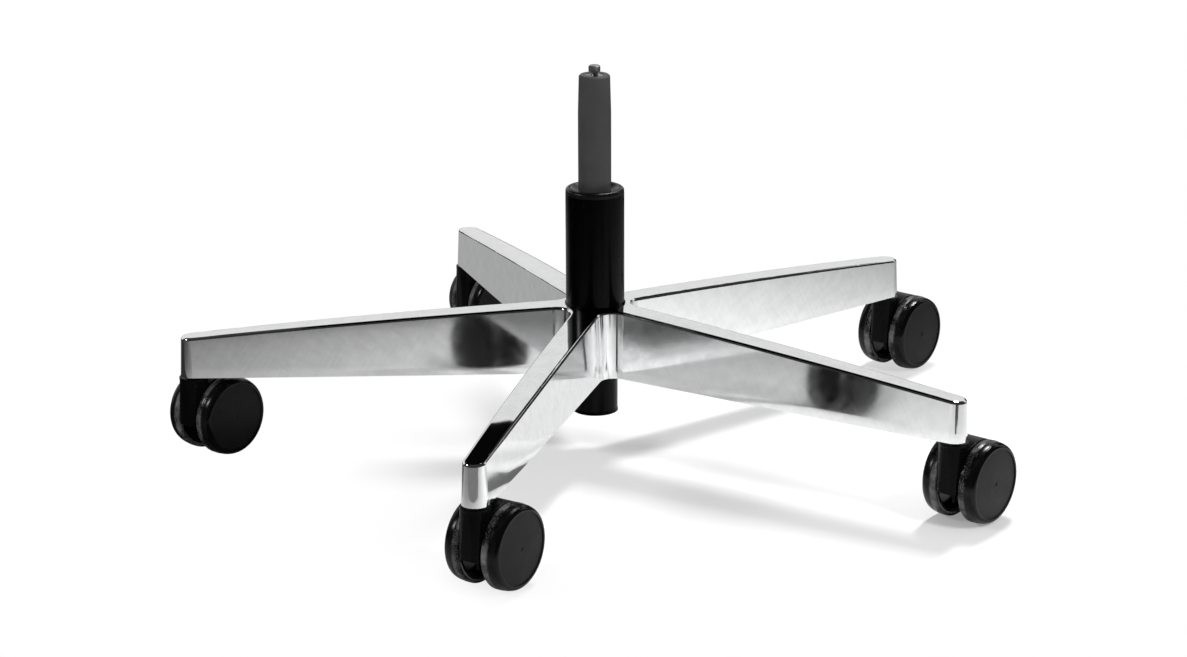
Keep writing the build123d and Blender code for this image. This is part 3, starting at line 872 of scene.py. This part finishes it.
def floor_material(look):
    """Pale floor. The camera sees its shadows near the base and plain white further out, and
    reflections see a pool of light painted into its colour, fading outwards."""
    material = bpy.data.materials.new("pale floor")
    tree = emptied_tree(material)
    output = tree.nodes.new("ShaderNodeOutputMaterial")
    rays = tree.nodes.new("ShaderNodeLightPath")
    mirrored = calculate(tree, "MAXIMUM", rays.outputs["Is Glossy Ray"],
                         rays.outputs["Is Transmission Ray"])
    # Painted pool of light: the floor's colour that reflections see darkens away from its middle
    reach = calculate(tree, "DIVIDE", distance_from(tree, PAINTED_POOL_CENTRE), look.painted_pool_radius)
    fall = calculate(tree, "MULTIPLY", calculate(tree, "POWER", reach, 2.0), -1.0)
    darker = calculate(tree, "SUBTRACT", calculate(tree, "POWER", math.e, fall), 1.0)
    tone = calculate(tree, "ADD", 1.0, calculate(tree, "MULTIPLY", mirrored, darker))
    paint = tree.nodes.new("ShaderNodeVectorMath")
    paint.operation = "SCALE"
    paint.inputs[0].default_value = look.floor_colour
    tree.links.new(tone, paint.inputs["Scale"])
    lit = tree.nodes.new("ShaderNodeBsdfDiffuse")
    tree.links.new(paint.outputs[0], lit.inputs["Color"])
    white = tree.nodes.new("ShaderNodeEmission")
    white.inputs["Strength"].default_value = 1.0
    glow = remap(tree, distance_from(tree, SHADOW_CENTRE), look.shadow_reach,
                 SHADOW_FADE * look.shadow_reach, look.floor_glow, 1.0)
    seen = calculate(tree, "MULTIPLY", rays.outputs["Is Camera Ray"], glow)
    blend_shaders(tree, seen, lit.outputs[0], white.outputs[0], output)
    return material


def plain_tone(name, grey):
    """A material that shows one even tone in reflections."""
    material = bpy.data.materials.new(name)
    tree = emptied_tree(material)
    output = tree.nodes.new("ShaderNodeOutputMaterial")
    tone = tree.nodes.new("ShaderNodeEmission")
    tone.inputs["Color"].default_value = (grey, grey, grey, 1.0)
    tree.links.new(tone.outputs[0], output.inputs["Surface"])
    return material


def reflected_only(name, corners, faces, grey):
    """A stage surface that only reflections see."""
    mesh = bpy.data.meshes.new(name)
    mesh.from_pydata(corners, [], faces)
    mesh.materials.append(plain_tone(name, grey))
    made = add_object(name, mesh)
    made.visible_camera = False
    made.visible_diffuse = False
    made.visible_shadow = False


def card(name, centre, across, up, width, height, grey):
    """A flat studio card, given by its middle and two directions."""
    half_across = across.normalized() * width / 2
    half_up = up.normalized() * height / 2
    corners = [centre - half_across - half_up, centre + half_across - half_up,
               centre + half_across + half_up, centre - half_across + half_up]
    reflected_only(name, corners, [(0, 1, 2, 3)], grey)


def curved_screen(name, radius, headings, heights, grey):
    """Part of a large sphere round the base, its headings counted from the camera's right."""
    corners = []
    for row in range(SCREEN_ROWS + 1):
        lift = math.radians(heights[0] + (heights[1] - heights[0]) * row / SCREEN_ROWS)
        flat = radius * math.cos(lift)
        for column in range(SCREEN_COLUMNS + 1):
            turn = math.radians(
                headings[0] + (headings[1] - headings[0]) * column / SCREEN_COLUMNS)
            corners.append(from_view(
                flat * math.cos(turn), flat * math.sin(turn), radius * math.sin(lift)))
    wide = SCREEN_COLUMNS + 1
    starts = [row * wide + column
              for row in range(SCREEN_ROWS) for column in range(SCREEN_COLUMNS)]
    faces = [(start, start + 1, start + wide + 1, start + wide) for start in starts]
    reflected_only(name, corners, faces, grey)


def soft_lamp(name, place, width, height, power, mirrored):
    """A large soft lamp that reflections can leave out."""
    data = bpy.data.lights.new(name, "AREA")
    data.shape = "RECTANGLE"
    data.size = width
    data.size_y = height
    data.energy = power
    lamp = add_object(name, data)
    lamp.location = place
    lamp.visible_glossy = mirrored
    lamp.rotation_mode = "QUATERNION"
    lamp.rotation_quaternion = (LAMP_TARGET - place).to_track_quat("-Z", "Y")


def light_room(strength):
    """Even light from all round that the camera and reflections see as white."""
    world = bpy.data.worlds.new("white room")
    tree = emptied_tree(world)
    output = tree.nodes.new("ShaderNodeOutputWorld")
    seen_white = tree.nodes.new("ShaderNodeBackground")
    seen_white.inputs["Strength"].default_value = 1.0
    even = tree.nodes.new("ShaderNodeBackground")
    even.inputs["Strength"].default_value = strength
    rays = tree.nodes.new("ShaderNodeLightPath")
    mirrored = calculate(tree, "MAXIMUM", rays.outputs["Is Glossy Ray"],
                         rays.outputs["Is Transmission Ray"])
    seen = calculate(tree, "MAXIMUM", rays.outputs["Is Camera Ray"], mirrored)
    blend_shaders(tree, seen, even.outputs[0], seen_white.outputs[0], output)
    bpy.context.scene.world = world


def place_camera():
    """The photograph's camera."""
    data = bpy.data.cameras.new("camera")
    data.lens = VIEW_LENS
    data.sensor_width = VIEW_SENSOR
    data.clip_start = VIEW_NEAREST
    data.clip_end = VIEW_FURTHEST
    camera = add_object("camera", data)
    turn = (Matrix.Rotation(VIEW_HEADING, 4, "Z")
            @ Matrix.Rotation(math.pi / 2 - VIEW_PITCH, 4, "X")
            @ Matrix.Rotation(VIEW_ROLL, 4, "Z"))
    place = from_view(VIEW_SIDE, -VIEW_BACK, VIEW_HEIGHT)
    camera.matrix_world = Matrix.Translation(place) @ turn
    bpy.context.scene.camera = camera


def lay_floor(look):
    """The square floor under the base."""
    half = look.floor_size / 2
    mesh = bpy.data.meshes.new("floor")
    mesh.from_pydata([(-half, -half, 0), (half, -half, 0), (half, half, 0), (-half, half, 0)],
                     [], [(0, 1, 2, 3)])
    mesh.materials.append(floor_material(look))
    floor = add_object("floor", mesh)


class BuildStage(bpy.types.Operator):
    """Make the pale floor, the soft lamps, the studio cards and the camera"""
    bl_idname = "chairbase.build_stage"
    bl_label = "Stage"

    def execute(self, context):
        look = context.scene.base_stage
        lay_floor(look)
        for name, place, width, height, power, mirrored in LAMPS:
            soft_lamp(name, from_view(*place), width, height, getattr(look, power), mirrored)
        card("overhead card", from_view(*OVERHEAD_PLACE), from_view(1, 0, 0), from_view(0, 1, 0),
             OVERHEAD_SIDE, OVERHEAD_SIDE, OVERHEAD_GREY)
        for name, radius, headings, heights, grey in SCREENS:
            curved_screen(name, radius, headings, heights, grey)
        # Floor cards for reflections only, a painted shadow and a painted patch of light among them
        for name, middle, width, depth, grey in FLOOR_CARDS:
            card(name, Vector(middle), Vector((1, 0, 0)), Vector((0, 1, 0)), width, depth, grey)
        light_room(look.room_strength)
        place_camera()
        context.scene.view_settings.view_transform = "Standard"
        return {"FINISHED"}


# Sidebar and start

class ChairBasePanel(bpy.types.Panel):
    """Lists the steps that dress the chair base"""
    bl_idname = "CHAIRBASE_PT_steps"
    bl_label = "Chair Base"
    bl_space_type = "VIEW_3D"
    bl_region_type = "UI"
    bl_category = "Chair Base"

    def draw(self, context):
        for step in STEPS:
            self.layout.operator(step.bl_idname)
        for name in LOOKS:
            box = self.layout.box()
            look = getattr(context.scene, name)
            for key in look.__annotations__:
                box.prop(look, key)


STEPS = (DressStar, DressColumn, BuildBearing, DressCasters, BuildStage)
LOOKS = {
    "base_aluminium": AluminiumLook,
    "base_column": ColumnLook,
    "base_bearing": BearingLook,
    "base_casters": CasterLook,
    "base_stage": StageLook,
}


def register():
    for cls in (*LOOKS.values(), *STEPS, ChairBasePanel):
        bpy.utils.register_class(cls)
    for name, look in LOOKS.items():
        setattr(bpy.types.Scene, name, PointerProperty(type=look))


def unregister():
    for name in LOOKS:
        delattr(bpy.types.Scene, name)
    for cls in (ChairBasePanel, *reversed(STEPS), *reversed(LOOKS.values())):
        bpy.utils.unregister_class(cls)


def main():
    register()
    bpy.ops.chairbase.dress_star()
    bpy.ops.chairbase.dress_column()
    bpy.ops.chairbase.build_bearing()
    bpy.ops.chairbase.dress_casters()
    bpy.ops.chairbase.build_stage()


if __name__ == "__main__":
    main()
